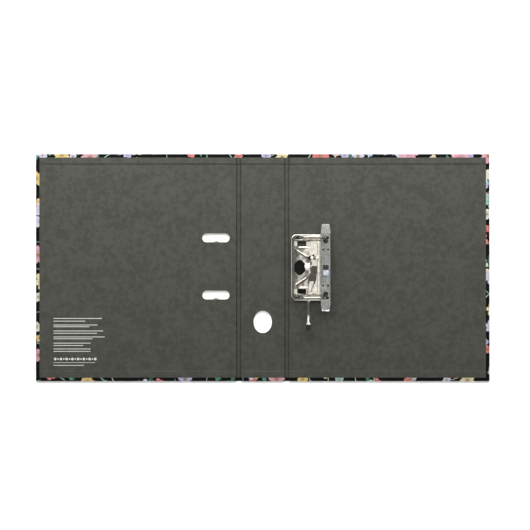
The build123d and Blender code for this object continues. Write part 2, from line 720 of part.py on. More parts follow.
def bar_tab(side):
    """Finger tab at one end of the bar, sloping down to a turned-up lip."""
    y0 = BAR_HALF_LENGTH
    y1 = y0 + BAR_TAB_LENGTH
    low = BAR_TOP - BAR_TAB_DROP
    sheet = polygon(
        (y0 - TAB_ROOT, BAR_TOP),
        (y0 + TAB_ROOT, BAR_TOP),
        (y1 - LIP_LENGTH, low),
        (y1, low + LIP_RISE),
        (y1, low + LIP_RISE - LIP_THICKNESS),
        (y1 - LIP_LENGTH, low - BAR_SHEET),
        (y0 + TAB_ROOT, BAR_TOP - BAR_SHEET),
        (y0 - TAB_ROOT, BAR_TOP - BAR_SHEET),
    )
    half_end = BAR_TAB_END_WIDTH / 2
    plan = polygon(
        (BAR_LEFT, y0 - TAB_ROOT),
        (BAR_LEFT + TAB_STEP, y0 + TAB_STRAIGHT),
        (POST_X - half_end, y1 - TAB_CORNER),
        (POST_X - half_end + TAB_CORNER, y1),
        (POST_X + half_end - TAB_CORNER, y1),
        (POST_X + half_end, y1 - TAB_CORNER),
        (BAR_RIGHT - TAB_STEP, y0 + TAB_STRAIGHT),
        (BAR_RIGHT, y0 - TAB_ROOT),
    )
    tab = prism_x(sheet, BAR_LEFT, BAR_RIGHT) & prism_z(plan, 0, ARCH_TOP_Z)
    return tab if side > 0 else mirror(tab, about=Plane.XZ)


def bar_openings():
    """Windows for the posts and the button, and the pairs of small holes."""
    through = (BAR_TOP - BAR_DEPTH / 2, ARCH_TOP_Z)
    window = SlotOverall(POST_WINDOW_LENGTH, POST_WINDOW_WIDTH, rotation=90)
    low_y = BUTTON_Y + BUTTON_LENGTH / 2 - BUTTON_STEM - BUTTON_GAP
    x0, x1 = BUTTON_LEFT - BUTTON_GAP, BUTTON_RIGHT + BUTTON_GAP
    cuts = [block(x0, x1, low_y, WINDOW_HIGH_Y, *through)]
    for side in (1, -1):
        place = Pos(POST_X, side * (RING_Y - POST_WINDOW_SHIFT))
        cuts.append(prism_z(place * window, *through))
        for x in (POST_X - BAR_HOLE_X, POST_X + BAR_HOLE_X):
            cuts.append(rod_z(x, side * BAR_HOLE_Y, *through, BAR_HOLE_R))
    return cuts


def compressor_bar():
    """Channel that slides on both posts, with a strap across it under the button's spring."""
    half = BAR_HALF_LENGTH
    x0, x1 = BAR_LEFT + BAR_SHEET, BAR_RIGHT - BAR_SHEET
    bar = block(BAR_LEFT, BAR_RIGHT, -half, half, BAR_BOTTOM, BAR_TOP)
    bar = fillet(bar.edges().filter_by(Axis.Y).group_by(Axis.Z)[-1], BAR_SHEET)
    bar -= block(x0, x1, -half, half, BAR_BOTTOM, BAR_TOP - BAR_SHEET)
    y0, y1 = STRAP_Y - STRAP_LENGTH / 2, STRAP_Y + STRAP_LENGTH / 2
    bar += block(BAR_LEFT, BAR_RIGHT, y0, y1, BAR_BOTTOM, BAR_BOTTOM + STRAP_THICKNESS)
    bar += [bar_tab(1), bar_tab(-1)]
    return bar - bar_openings()


def thumb_plate():
    """Curved plate that the thumb presses, in Y and Z."""
    y0 = BUTTON_Y - BUTTON_LENGTH / 2
    y1 = BUTTON_Y + BUTTON_LENGTH / 2 - BUTTON_STEM
    low = BAR_TOP + BUTTON_TRAVEL + BUTTON_GAP
    belly = (BUTTON_Y - BUTTON_BELLY_SHIFT, low + BUTTON_RISE * BUTTON_BELLY)
    under = ThreePointArc((y0, low), belly, (y1, low + BUTTON_RISE))
    over = under.moved(Pos(0, BUTTON_STEM))
    ends = Line(under @ 0, over @ 0) + Line(under @ 1, over @ 1)
    return prism_x(make_face(under + over + ends), BUTTON_LEFT, BUTTON_RIGHT)


def thumb_button():
    """Thumb plate outside the bar, and the strip inside it that works both grip plates."""
    y1 = BUTTON_Y + BUTTON_LENGTH / 2
    stem_top = BAR_TOP + BUTTON_TRAVEL + BUTTON_GAP + BUTTON_RISE + BUTTON_STEM
    stem = block(BUTTON_LEFT, BUTTON_RIGHT, y1 - BUTTON_STEM, y1, STRIP_LOW, stem_top)
    reach = RING_Y - GRIP_LENGTH + GRIP_PIVOT_FROM_POST + STRIP_PAST_GRIP
    x0, x1 = BAR_LEFT + STRIP_SIDE_GAP, BAR_RIGHT - STRIP_SIDE_GAP
    return thumb_plate() + stem + block(x0, x1, -reach, reach, STRIP_LOW, STRIP_TOP)


def grip_plate(side):
    """Plate round a post, tilted so that it bites, hinged at its outer end."""
    hinge_y = RING_Y + GRIP_PIVOT_FROM_POST
    x0 = BAR_LEFT + BAR_SHEET + GRIP_SIDE_GAP
    x1 = BAR_RIGHT - BAR_SHEET - GRIP_SIDE_GAP
    half = GRIP_THICKNESS / 2
    plate = block(x0, x1, -GRIP_LENGTH, 0, -half, half) + rod_x(x0, x1, 0, 0, half)
    plate -= rod_z(POST_X, -GRIP_PIVOT_FROM_POST, -half, half, POST_R + GRIP_HOLE_GAP)
    plate = Pos(0, hinge_y, GRIP_Z) * Rot(-GRIP_TILT, 0, 0) * plate
    return plate if side > 0 else mirror(plate, about=Plane.XZ)


def release_spring():
    """Small coil between the bar's strap and the button's strip."""
    low = BAR_BOTTOM + STRAP_THICKNESS + SPRING_WIRE_R
    high = STRIP_LOW - SPRING_WIRE_R
    coil = Helix((high - low) / SPRING_TURNS, high - low, SPRING_COIL_R)
    start = Plane(origin=coil @ 0, z_dir=coil % 0)
    return Pos(POST_X, STRAP_Y, low) * sweep(start * Circle(SPRING_WIRE_R), path=coil)


def openings(panel):
    """Everything cut through one panel of the case."""
    if panel is SPINE:
        return [ring_room(finger_outline, finger_place(), FINGER_RING_FLANGE)]
    if panel is FRONT:
        return [ring_room(slot_outline, place, SLOT_RING_FLANGE) for place in slot_places()]
    return rivet_room()


def case_nodes():
    """Pieces of the case by name."""
    nodes = {}
    for name, panel in (("back", BACK), ("spine", SPINE), ("front", FRONT)):
        cuts = openings(panel)
        for layer, make in (("board", board), ("wrap", wrap), ("lining", lining)):
            piece = make(panel)
            for cut in cuts:
                piece -= cut
            nodes[f"{name}_{layer}"] = piece
    for name, x0 in (("rear", HALF_SPINE), ("front", -COVER_NEAR)):
        nodes[f"{name}_groove_wrap"] = groove_wrap(x0, x0 + GROOVE_WIDTH)
        nodes[f"{name}_groove_lining"] = groove_lining(x0, x0 + GROOVE_WIDTH)
    nodes["finger_ring"] = ring(finger_outline, finger_place(), FINGER_RING_FLANGE)
    for end, place in zip(("head", "foot"), slot_places()):
        nodes[f"slot_ring_{end}"] = slot_ring(place)
    return nodes


def mechanism_nodes():
    """Pieces of the mechanism by name."""
    nodes = {
        "base_plate": base_plate(),
        "damping_pad": damping_pad(),
        "mounting_rivets": mounting_rivets(),
        "lever_pivot_pin": lever_pivot_pin(),
        "arch_wire": arch_wire(),
        "lever_arm": lever_arm(),
        "lever_cap": lever_cap(),
        "roller_pin": roller_pin(),
        "roller": roller(),
        "compressor_bar": compressor_bar(),
        "thumb_button": thumb_button(),
        "release_spring": release_spring(),
    }
    for end, side in (("head", 1), ("foot", -1)):
        nodes[f"post_{end}"] = post(side)
        nodes[f"grip_plate_{end}"] = grip_plate(side)
    return nodes


def main():
    """Write every piece to its own STEP file."""
    os.makedirs("parts", exist_ok=True)
    for name, piece in {**case_nodes(), **mechanism_nodes()}.items():
        solids = piece if isinstance(piece, list) else [piece]
        solids = [solid for shape in solids for solid in shape.solids()]
        export_step(Compound(children=solids), f"parts/{name}.step")


main()
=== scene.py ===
"""Looks of an open lever arch file: printed wrap, grey lining, hinge strips and nickel mechanism."""

from math import radians

import bpy
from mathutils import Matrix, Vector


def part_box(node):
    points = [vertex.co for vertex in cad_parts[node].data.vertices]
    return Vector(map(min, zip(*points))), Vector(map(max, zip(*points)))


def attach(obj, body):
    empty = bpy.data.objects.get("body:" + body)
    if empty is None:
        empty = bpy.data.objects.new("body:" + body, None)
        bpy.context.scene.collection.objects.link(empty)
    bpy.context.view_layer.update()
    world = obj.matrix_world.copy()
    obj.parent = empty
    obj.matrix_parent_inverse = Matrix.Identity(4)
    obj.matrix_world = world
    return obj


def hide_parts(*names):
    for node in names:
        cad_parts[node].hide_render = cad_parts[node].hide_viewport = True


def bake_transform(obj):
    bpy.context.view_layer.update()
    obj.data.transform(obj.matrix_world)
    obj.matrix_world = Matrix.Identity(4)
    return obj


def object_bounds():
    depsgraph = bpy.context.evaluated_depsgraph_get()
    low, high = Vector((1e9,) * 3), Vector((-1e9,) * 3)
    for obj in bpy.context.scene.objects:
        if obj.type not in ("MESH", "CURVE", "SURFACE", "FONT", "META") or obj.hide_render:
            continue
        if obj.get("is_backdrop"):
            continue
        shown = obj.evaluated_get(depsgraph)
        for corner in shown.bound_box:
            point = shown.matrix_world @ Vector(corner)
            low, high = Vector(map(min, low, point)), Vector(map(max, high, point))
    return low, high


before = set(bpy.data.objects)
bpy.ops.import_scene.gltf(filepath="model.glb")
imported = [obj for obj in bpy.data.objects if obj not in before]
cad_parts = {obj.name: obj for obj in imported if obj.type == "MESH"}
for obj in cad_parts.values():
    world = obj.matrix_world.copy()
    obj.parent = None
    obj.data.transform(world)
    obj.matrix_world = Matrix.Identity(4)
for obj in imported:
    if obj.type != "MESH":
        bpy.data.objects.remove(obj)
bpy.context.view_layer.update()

bl_info = {
    "name": "Lever arch file",
    "version": (1, 0, 0),
    "blender": (4, 5, 0),
    "location": "3D View > Sidebar > Lever file",
    "description": "Builds the soft strips, print and finishes of an open lever arch file",
    "category": "Object",
}

MM = 0.001
TOUCH = 0.001 * MM
SMOOTH_BELOW = radians(40)

# Paper case
TURN_IN = 14 * MM
SHEET_SLACK = 0.94
CUTS_ALONG = 12
WRAP_CUTS_ACROSS = 16
LINING_CUTS_ACROSS = 12
LINING_CURVE = 0.5 * MM
CURVE_STEPS = ((0.42, 0.16), (0.26, 0.46), (0.15, 0.30), (0.17, 0.08))
LARGE_CELLS = 27.0
LARGE_PETALS = 7.0
LARGE_GAPS = 0.2
SMALL_CELLS = 46.0
SMALL_PETALS = 4.0
SMALL_GAPS = 0.42
SMALL_SHIFT = (0.713, 0.391, 0.0)
PETAL_COLOURS = (
    (0.00, (0.26, 0.24, 0.39)),
    (0.16, (0.38, 0.09, 0.08)),
    (0.29, (0.45, 0.43, 0.36)),
    (0.45, (0.43, 0.30, 0.08)),
    (0.54, (0.41, 0.20, 0.24)),
    (0.69, (0.35, 0.35, 0.42)),
    (0.84, (0.19, 0.30, 0.25)),
    (0.91, (0.45, 0.39, 0.22)),
)
PETAL_PALE = (0.41, 0.38, 0.36)
PETAL_DEEP = (0.02, 0.02, 0.03)
HEART_BROWN = (0.16, 0.10, 0.03)
STEM_PALE = (0.24, 0.37, 0.27)
FLECK_PALE = (0.16, 0.155, 0.14)
# Colour of the painted shade along the lining's creases at the board edges
PAINTED_CREASE_SHADE_TONE = (0.012, 0.012, 0.010)

# Print block, in millimetres: height and right end of each rule
RULE_LEFT = -292.9
RULES = (
    (-71.2, -225.1),
    (-75.0, -248.1),
    (-80.4, -231.3),
    (-82.8, -242.6),
    (-88.7, -223.4),
    (-92.0, -232.1),
    (-97.1, -221.2),
    (-99.7, -238.3),
    (-105.8, -241.1),
    (-109.1, -251.4),
    (-113.9, -240.9),
    (-117.3, -240.9),
)
LAST_RULES = ((-133.0, -234.8, 0.55), (-136.9, -250.2, 0.9))
DIAMOND_COUNT = 15
DIAMOND_LEFT = -290.4
DIAMOND_PITCH = 4.0
DIAMOND_HEIGHT = -128.0

# Metal tones
# Share of the nickel tone on the arch wire: the same plating, darkened as painted shade
WIRE_SHADE_SHARE = 0.42
DULL_SHARE = 0.72
PIT_BROWN = (0.2, 0.18, 0.15)
# Depths under the compressor bar's top over which the painted shade on the thumb plate's strip fades out
STRIP_SHADE_FROM = 0.0012
STRIP_SHADE_TO = 0.0002

# Studio: place, turn in degrees, width and depth, setting and the share of it
FLOOR_RADIUS = 0.7
FLOOR_DEPTH = 0.02
FLOOR_GAP = 0.0002
CAMERA_PLACE = (3.2 * MM, 3.6 * MM)
SENSOR_WIDTH = 36.0
SOFTBOXES = (
    ("Head softbox", (-0.15, 0.85, 0.7), (-50, 0, 0), (2.2, 0.5), "head_light", 1.0),
    ("Foot softbox", (0.0, -2.4, 0.65), (75, 0, 0), (3.0, 0.6), "foot_light", 1.0),
    ("Foot fill", (0.0, -1.0, 2.1), (25, 0, 0), (2.4, 0.7), "foot_fill", 1.0),
    ("Left softbox", (-2.4, 0.2, 1.7), (0, -54, 0), (1.0, 2.4), "side_light", 1.0),
    ("Right softbox", (2.4, 0.2, 1.7), (0, 54, 0), (1.0, 2.4), "side_light", 1.0),
    ("Left near strip", (-0.25, 0.48, 1.35), (0, 0, 0), (0.25, 1.2), "overhead_light", 0.18),
    ("Right near strip", (0.25, 0.48, 1.35), (0, 0, 0), (0.25, 1.2), "overhead_light", 0.18),
    ("Lever strip", (0.17, -0.21, 1.35), (0, 0, 0), (0.12, 0.16), "overhead_light", 0.018),
    ("Head strip", (0.0, 0.56, 0.26), (-60, 0, 0), (1.4, 0.12), "head_light", 0.14),
    ("Left far strip", (-0.85, 0.40, 1.35), (0, 0, 0), (0.6, 1.4), "overhead_light", 0.6),
    ("Right far strip", (0.85, 0.40, 1.35), (0, 0, 0), (0.6, 1.4), "overhead_light", 0.6),
)


# ---- sizes and colours that a user would change


def colour(name, text, value):
    """Colour property without alpha."""
    return bpy.props.FloatVectorProperty(
        name=name, description=text, subtype="COLOR", size=3, min=0.0, max=1.0, default=value
    )


def length(name, text, value):
    """Length property in metres."""
    return bpy.props.FloatProperty(
        name=name, description=text, unit="LENGTH", min=0.0, precision=5, default=value
    )


def number(name, text, value):
    """Plain number property from nothing up."""
    return bpy.props.FloatProperty(name=name, description=text, min=0.0, default=value)


class CaseSettings(bpy.types.PropertyGroup):
    """Boards, wrap and lining."""

    lining_dark: colour("Lining, dark clouds", "Darker tone of the mottled lining", (0.0318, 0.0318, 0.0259))
    lining_light: colour("Lining, light clouds", "Lighter tone of the mottled lining", (0.0421, 0.0418, 0.0349))
    cloud_size: length("Cloud size", "Width of one soft blotch in the lining", 0.007)
    wrap_ground: colour("Wrap ground", "Colour between the printed flowers", (0.0022, 0.0023, 0.0026))
    stem_green: colour("Stems", "Printed stems and leaves", (0.05, 0.17, 0.10))
    bloom_size: length("Large flower", "Radius of a large printed flower", 0.0125)
    bud_size: length("Small flower", "Radius of a small printed flower", 0.0068)
    board_grey: colour("Greyboard", "Raw board inside the wrap", (0.30, 0.29, 0.26))
    paper: length("Paper", "Thickness of wrap paper", 0.0002)
    lining: length("Lining", "Thickness of lining paper", 0.0003)


class MechanismSettings(bpy.types.PropertyGroup):
    """Metal, nylon and rubber of the mechanism."""

    nickel: colour("Nickel", "Bright warm nickel plating", (0.74, 0.70, 0.62))
    zinc: colour("Zinc", "Blue passivated zinc plating", (0.34, 0.352, 0.335))
    bright_zinc: colour("Bright zinc", "Thumb plate's brighter zinc", (0.62, 0.68, 0.75))
    cap: colour("Cap", "Moulded cap on the lever", (0.007, 0.007, 0.006))
    # White partly for the nylon and partly as a painted highlight on the roller
    nylon: colour("Nylon", "Roller", (0.92, 0.92, 0.90))
    # Near black so that the pad under the base plate shows as painted shade through the plate's windows
    rubber: colour("Rubber", "Damping pad under the plate", (0.004, 0.004, 0.003))
    # Spring steel is the real tone of the coil and grip plates; on the thumb plate's strip and the lever's
    # pivot pin it is painted shade
    steel: colour("Spring steel", "Coil, strip and grip plates inside the bar", (0.055, 0.052, 0.045))
    smudge_size: length("Smudge size", "Width of a handling mark on the plating", 0.006)


class PrintSettings(bpy.types.PropertyGroup):
    """Pale ruled lines in the front cover's lower corner."""

    ink: colour("Ink", "Pale printing ink", (0.55, 0.55, 0.52))
    line_height: length("Rule height", "Height of one ruled line", 0.0009)
    mark_size: length("Mark size", "Half width of a large diamond in the row", 0.0021)
    film: length("Ink film", "Thickness of the ink", 0.00003)


class StudioSettings(bpy.types.PropertyGroup):
    """Floor, lights and camera."""

    floor: colour("Floor", "Pale floor", (0.97, 0.97, 0.97))
    camera_height: length("Camera height", "Height of the lens over the floor", 1.1525)
    lens: bpy.props.FloatProperty(
        name="Lens", description="Focal length", unit="CAMERA", min=10.0, default=55.8
    )
    room: number("Room light", "Strength of the even light from all round", 0.12)
    backdrop: number("Backdrop", "Brightness of the room behind the floor", 1.0)
    head_light: number("Head light", "Power of the softbox past the head edge", 30.0)
    side_light: number("Side lights", "Power of each softbox past a fore edge", 12.0)
    overhead_light: number("Overhead lights", "Power that the strips beside the camera share", 6.0)
    foot_fill: number("Foot fill", "Power of the high softbox on the foot side", 5.0)
    foot_light: number("Foot light", "Power of the softbox past the foot edge", 22.0)


# ---- nodes


def group(name, inputs, outputs):
    """New shader node group with its sockets, and the nodes at its two ends."""
    tree = bpy.data.node_groups.new(name, "ShaderNodeTree")
    for socket, kind, value in inputs:
        made = tree.interface.new_socket(name=socket, in_out="INPUT", socket_type=kind)
        if value is not None:
            made.default_value = value
    for socket, kind in outputs:
        tree.interface.new_socket(name=socket, in_out="OUTPUT", socket_type=kind)
    return tree, tree.nodes.new("NodeGroupInput"), tree.nodes.new("NodeGroupOutput")


def feed(tree, node, inputs):
    """Set or link a node's inputs, each given by name or number."""
    for key, value in inputs.items():
        if isinstance(value, bpy.types.NodeSocket):
            tree.links.new(value, node.inputs[key])
        else:
            node.inputs[key].default_value = value
    return node


def add(tree, kind, inputs=None, **settings):
    """New node with its settings; inputs holds values or sockets to link."""
    node = tree.nodes.new("ShaderNode" + kind)
    for key, value in settings.items():
        setattr(node, key, value)
    return feed(tree, node, inputs or {})


def maths(tree, operation, a, b=None, c=None):
    """Result of one Math node."""
    values = {n: v for n, v in enumerate((a, b, c)) if v is not None}
    return add(tree, "Math", values, operation=operation).outputs[0]


def times(tree, a, b):
    """Product of two values."""
    return maths(tree, "MULTIPLY", a, b)


def times_plus(tree, a, b, c):
    """Product of two values, and a third added."""
    return maths(tree, "MULTIPLY_ADD", a, b, c)


def vector(tree, operation, a, b):
    """Vector result of one Vector Math node."""
    return add(tree, "VectorMath", {0: a, 1: b}, operation=operation).outputs["Vector"]


def blend_colour(tree, mix, a, b):
    """Colour a where mix is 0 and b where it is 1."""
    node = feed(tree, add(tree, "Mix", data_type="RGBA"), {0: mix})
    for key, value in ((6, a), (7, b)):
        feed(tree, node, {key: value if isinstance(value, bpy.types.NodeSocket) else (*value[:3], 1.0)})
    return node.outputs[2]


def noise(tree, where, scale, detail=2.0, rough=0.5, distortion=0.0):
    """Noise value at a size in features per metre."""
    values = {"Vector": where, "Scale": scale, "Detail": detail, "Roughness": rough}
    return add(tree, "TexNoise", {**values, "Distortion": distortion}).outputs["Fac"]


def step(tree, value, low, high, start=0.0, end=1.0):
    """Smooth step of value between low and high, given as numbers or sockets."""
    values = {"Value": value, "From Min": low, "From Max": high, "To Min": start, "To Max": end}
    return add(tree, "MapRange", values, interpolation_type="SMOOTHSTEP").outputs["Result"]


def finish(name):
    """New material: its tree, its Principled shader and its Object coordinates."""
    material = bpy.data.materials.new(name)
    material.use_nodes = True
    tree = material.node_tree
    shader = tree.nodes["Principled BSDF"]
    return material, tree, shader, tree.nodes.new("ShaderNodeTexCoord").outputs["Object"]


def use(tree, made, inputs):
    """Outputs of a node that uses a group."""
    node = tree.nodes.new("ShaderNodeGroup")
    node.node_tree = made
    return feed(tree, node, inputs).outputs


def relief(tree, shader, height, distance):
    """Bump from a height into the shader's normal."""
    values = {"Height": height, "Distance": distance, "Strength": 1.0}
    tree.links.new(add(tree, "Bump", values).outputs["Normal"], shader.inputs["Normal"])


# ---- shared effects


def paper_group():
    """Soft clouds, fibres and flecks of a dyed paper."""
    tree, given, out = group(
        "Paper clouds and fibres",
        [("Vector", "NodeSocketVector", None), ("Cloud Scale", "NodeSocketFloat", 140.0)],
        [("Clouds", "NodeSocketFloat"), ("Fibres", "NodeSocketFloat"), ("Flecks", "NodeSocketFloat")],
    )
    where, scale = given.outputs["Vector"], given.outputs["Cloud Scale"]
    near = noise(tree, where, scale, 3.0, 0.55, 0.4)
    wide = noise(tree, where, times(tree, scale, 0.22), 2.0, 0.5)
    both = times_plus(tree, near, 0.72, times(tree, wide, 0.28))
    tree.links.new(step(tree, both, 0.34, 0.66), out.inputs["Clouds"])
    lengthwise = vector(tree, "MULTIPLY", where, (1.0, 0.3, 1.0))
    fibres = noise(tree, lengthwise, 1900.0, 3.0, 0.62, 0.6)
    tree.links.new(fibres, out.inputs["Fibres"])
    spots = add(tree, "TexVoronoi", {"Vector": where, "Scale": 620.0}).outputs["Distance"]
    tree.links.new(step(tree, spots, 0.16, 0.05), out.inputs["Flecks"])
    return tree


def flower_group():
    """One scattered layer of simple flowers, seen from above, each in its own cell."""
    tree, given, out = group(
        "Scattered flowers",
        [
            ("Vector", "NodeSocketVector", None),
            ("Cells", "NodeSocketFloat", 24.0),
            ("Radius", "NodeSocketFloat", 0.01),
            ("Petals", "NodeSocketFloat", 5.0),
            ("Gaps", "NodeSocketFloat", 0.3),
        ],
        [
            ("Mask", "NodeSocketFloat"),
            ("Shade", "NodeSocketFloat"),
            ("Heart", "NodeSocketFloat"),
            ("Pick", "NodeSocketFloat"),
        ],
    )
    where = given.outputs["Vector"]
    values = {"Vector": where, "Scale": given.outputs["Cells"], "Randomness": 0.8}
    cell = add(tree, "TexVoronoi", values, voronoi_dimensions="2D")
    pick = add(tree, "SeparateColor", {0: cell.outputs["Color"]}).outputs
    flat = vector(tree, "MULTIPLY", where, (1.0, 1.0, 0.0))
    local = vector(tree, "SUBTRACT", flat, cell.outputs["Position"])
    part = add(tree, "SeparateXYZ", {0: local}).outputs
    angle = maths(tree, "ARCTAN2", part["Y"], part["X"])
    turn = times_plus(tree, pick["Green"], 6.283, angle)
    half = times(tree, times(tree, turn, given.outputs["Petals"]), 0.5)
    lobe = maths(tree, "ABSOLUTE", maths(tree, "COSINE", half))
    lobe = maths(tree, "POWER", lobe, 0.55)
    lobe = times_plus(tree, lobe, 0.44, 0.56)
    ragged = noise(tree, where, 900.0, 2.0)
    lobe = times(tree, lobe, times_plus(tree, ragged, 0.3, 0.85))
    size = times_plus(tree, pick["Blue"], 0.5, 0.6)
    reach = times(tree, times(tree, lobe, size), given.outputs["Radius"])
    away = add(tree, "VectorMath", {0: local}, operation="LENGTH").outputs["Value"]
    outward = maths(tree, "DIVIDE", away, reach)
    mask = step(tree, outward, 1.04, 0.98)
    present = maths(tree, "GREATER_THAN", pick["Blue"], given.outputs["Gaps"])
    tree.links.new(times(tree, mask, present), out.inputs["Mask"])
    veins = maths(tree, "ABSOLUTE", maths(tree, "SINE", times(tree, turn, 19.0)))
    shade = times_plus(tree, veins, 0.16, step(tree, outward, 0.1, 0.95, 0.45, 0.9))
    tree.links.new(shade, out.inputs["Shade"])
    heart = step(tree, maths(tree, "DIVIDE", away, given.outputs["Radius"]), 0.2, 0.15)
    tree.links.new(heart, out.inputs["Heart"])
    tree.links.new(pick["Red"], out.inputs["Pick"])
    return tree


def leaf_group():
    """Wandering stems and small pointed leaves."""
    tree, given, out = group(
        "Stems and leaves",
        [("Vector", "NodeSocketVector", None), ("Cells", "NodeSocketFloat", 30.0)],
        [("Stems", "NodeSocketFloat"), ("Leaves", "NodeSocketFloat"), ("Shade", "NodeSocketFloat")],
    )
    where = given.outputs["Vector"]
    values = {"Vector": where, "Scale": 55.0, "Detail": 1.0}
    bend = add(tree, "TexNoise", values).outputs["Color"]
    bend = vector(tree, "MULTIPLY", vector(tree, "SUBTRACT", bend, (0.5, 0.5, 0.5)), (0.02, 0.02, 0.0))
    moved = vector(tree, "ADD", where, bend)
    values = {"Vector": moved, "Scale": given.outputs["Cells"], "Randomness": 1.0}
    edge = add(tree, "TexVoronoi", values, voronoi_dimensions="2D", feature="DISTANCE_TO_EDGE")
    gate = noise(tree, where, 38.0, 0.0)
    line = step(tree, edge.outputs["Distance"], 0.018, 0.009)
    tree.links.new(times(tree, line, step(tree, gate, 0.42, 0.46)), out.inputs["Stems"])
    values = {"Vector": moved, "Rotation": (0.0, 0.0, radians(37)), "Scale": (1.0, 0.36, 1.0)}
    turned = add(tree, "Mapping", values).outputs[0]
    values = {"Vector": turned, "Scale": 78.0, "Randomness": 0.9}
    leaf = add(tree, "TexVoronoi", values, voronoi_dimensions="2D")
    pick = add(tree, "SeparateColor", {0: leaf.outputs["Color"]}).outputs
    body = step(tree, leaf.outputs["Distance"], 0.24, 0.21)
    leaves = times(tree, body, maths(tree, "GREATER_THAN", pick["Red"], 0.66))
    tree.links.new(leaves, out.inputs["Leaves"])
    tree.links.new(times_plus(tree, pick["Green"], 0.7, 0.3), out.inputs["Shade"])
    return tree


def plating_group():
    """Handling smudges, fine drawn grain and pin pricks of plating on steel."""
    tree, given, out = group(
        "Plated steel",
        [
            ("Vector", "NodeSocketVector", None),
            ("Smudge Scale", "NodeSocketFloat", 160.0),
            ("Along", "NodeSocketVector", (1.0, 0.06, 1.0)),
        ],
        [
            ("Smudge", "NodeSocketFloat"),
            ("Grain", "NodeSocketFloat"),
            ("Pits", "NodeSocketFloat"),
            ("Waves", "NodeSocketFloat"),
        ],
    )
    where = given.outputs["Vector"]
    smudge = noise(tree, where, given.outputs["Smudge Scale"], 4.0, 0.6, 0.8)
    tree.links.new(step(tree, smudge, 0.35, 0.7), out.inputs["Smudge"])
    stretched = vector(tree, "MULTIPLY", where, given.outputs["Along"])
    tree.links.new(noise(tree, stretched, 2600.0, 3.0, 0.65), out.inputs["Grain"])
    wide = noise(tree, where, times(tree, given.outputs["Smudge Scale"], 0.4), 1.0)
    tree.links.new(wide, out.inputs["Waves"])
    spots = add(tree, "TexVoronoi", {"Vector": where, "Scale": 900.0}).outputs["Distance"]
    gate = noise(tree, where, 260.0, 1.0)
    pits = times(tree, step(tree, spots, 0.14, 0.04), step(tree, gate, 0.55, 0.7))
    tree.links.new(pits, out.inputs["Pits"])
    return tree


def grain_group():
    """Fine spark-eroded grain of a moulding, with soft rubbed places."""
    tree, given, out = group(
        "Moulded grain",
        [("Vector", "NodeSocketVector", None), ("Grain Scale", "NodeSocketFloat", 3000.0)],
        [("Grain", "NodeSocketFloat"), ("Rubbed", "NodeSocketFloat")],
    )
    where = given.outputs["Vector"]
    values = {"Vector": where, "Scale": given.outputs["Grain Scale"]}
    cells = add(tree, "TexVoronoi", values, feature="SMOOTH_F1").outputs["Distance"]
    fine = noise(tree, where, 5200.0, 2.0)
    tree.links.new(times_plus(tree, cells, 0.6, fine), out.inputs["Grain"])
    tree.links.new(step(tree, noise(tree, where, 320.0, 2.0), 0.4, 0.72), out.inputs["Rubbed"])
    return tree


# ---- finishes of the case


def turn_in_height(tree, where, half_height, half_width):
    """Rise of the lining over the wrap's turned-in edges, from 0 inside to 1 outside."""
    part = add(tree, "SeparateXYZ", {0: where}).outputs
    rise = []
    for socket, edge, most in ((part["Y"], half_height, 1.0), (part["X"], half_width, 0.35)):
        away = maths(tree, "ABSOLUTE", socket)
        rise.append(step(tree, away, edge - 0.0007, edge + 0.0005, 0.0, most))
    return maths(tree, "MAXIMUM", *rise)


def painted_crease_shade(tree, where):
    """Painted shade along the four board edges that the lining is pressed over."""
    away = maths(tree, "ABSOLUTE", add(tree, "SeparateXYZ", {0: where}).outputs["X"])
    low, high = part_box("rear_groove_lining")
    creases = []
    for edge, inward in ((low[0], 0.0003), (high[0], -0.0003)):
        off = maths(tree, "ABSOLUTE", maths(tree, "SUBTRACT", away, edge + inward))
        creases.append(step(tree, off, 0.0008, 0.0002))
    return times(tree, maths(tree, "MAXIMUM", *creases), 0.75)


def lining_finish(case, clouds):
    """Mottled grey lining that shows the turned-in edges under it."""
    material, tree, shader, where = finish("Lining paper")
    paper = use(tree, clouds, {"Vector": where, "Cloud Scale": 1 / case.cloud_size})
    tone = times_plus(tree, paper["Fibres"], 0.5, times(tree, paper["Clouds"], 0.7))
    tone = step(tree, tone, 0.2, 0.95)
    base = blend_colour(tree, tone, case.lining_dark, case.lining_light)
    base = blend_colour(tree, times(tree, paper["Flecks"], 0.10), base, FLECK_PALE)
    # Painted shade: the lining is darkened along the board edges at the hinge grooves
    base = blend_colour(tree, painted_crease_shade(tree, where), base, PAINTED_CREASE_SHADE_TONE)
    tree.links.new(base, shader.inputs["Base Color"])
    tree.links.new(times_plus(tree, paper["Clouds"], -0.1, 0.86), shader.inputs["Roughness"])
    shader.inputs["Specular IOR Level"].default_value = 0.2
    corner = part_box("back_wrap")[1]
    rise = turn_in_height(tree, where, corner[1] - TURN_IN, corner[0] - TURN_IN)
    fine = times_plus(tree, paper["Fibres"], 0.16, times(tree, paper["Clouds"], 0.1))
    relief(tree, shader, times_plus(tree, rise, 3.0, fine), 0.0004)
    return material


def flower_colours(tree, pick):
    """Pastel picked for each flower."""
    ramp = add(tree, "ValToRGB", {0: pick})
    ramp.color_ramp.interpolation = "CONSTANT"
    stops = ramp.color_ramp.elements
    for stop, (place, shade) in zip(stops, PETAL_COLOURS[:2]):
        stop.position, stop.color = place, (*shade, 1.0)
    for place, shade in PETAL_COLOURS[2:]:
        stops.new(place).color = (*shade, 1.0)
    return ramp.outputs["Color"]


def flower_layer(tree, under, flowers, values):
    """One layer of flowers over what is under it."""
    layer = use(tree, flowers, values)
    petal = flower_colours(tree, layer["Pick"])
    painted = noise(tree, values["Vector"], 420.0, 2.0, 0.6)
    pale = blend_colour(tree, step(tree, painted, 0.52, 0.66, 0.0, 0.8), petal, PETAL_PALE)
    deep = blend_colour(tree, 0.80, petal, PETAL_DEEP)
    petal = blend_colour(tree, times(tree, layer["Shade"], 0.9), deep, pale)
    petal = blend_colour(tree, layer["Heart"], petal, HEART_BROWN)
    return blend_colour(tree, layer["Mask"], under, petal)


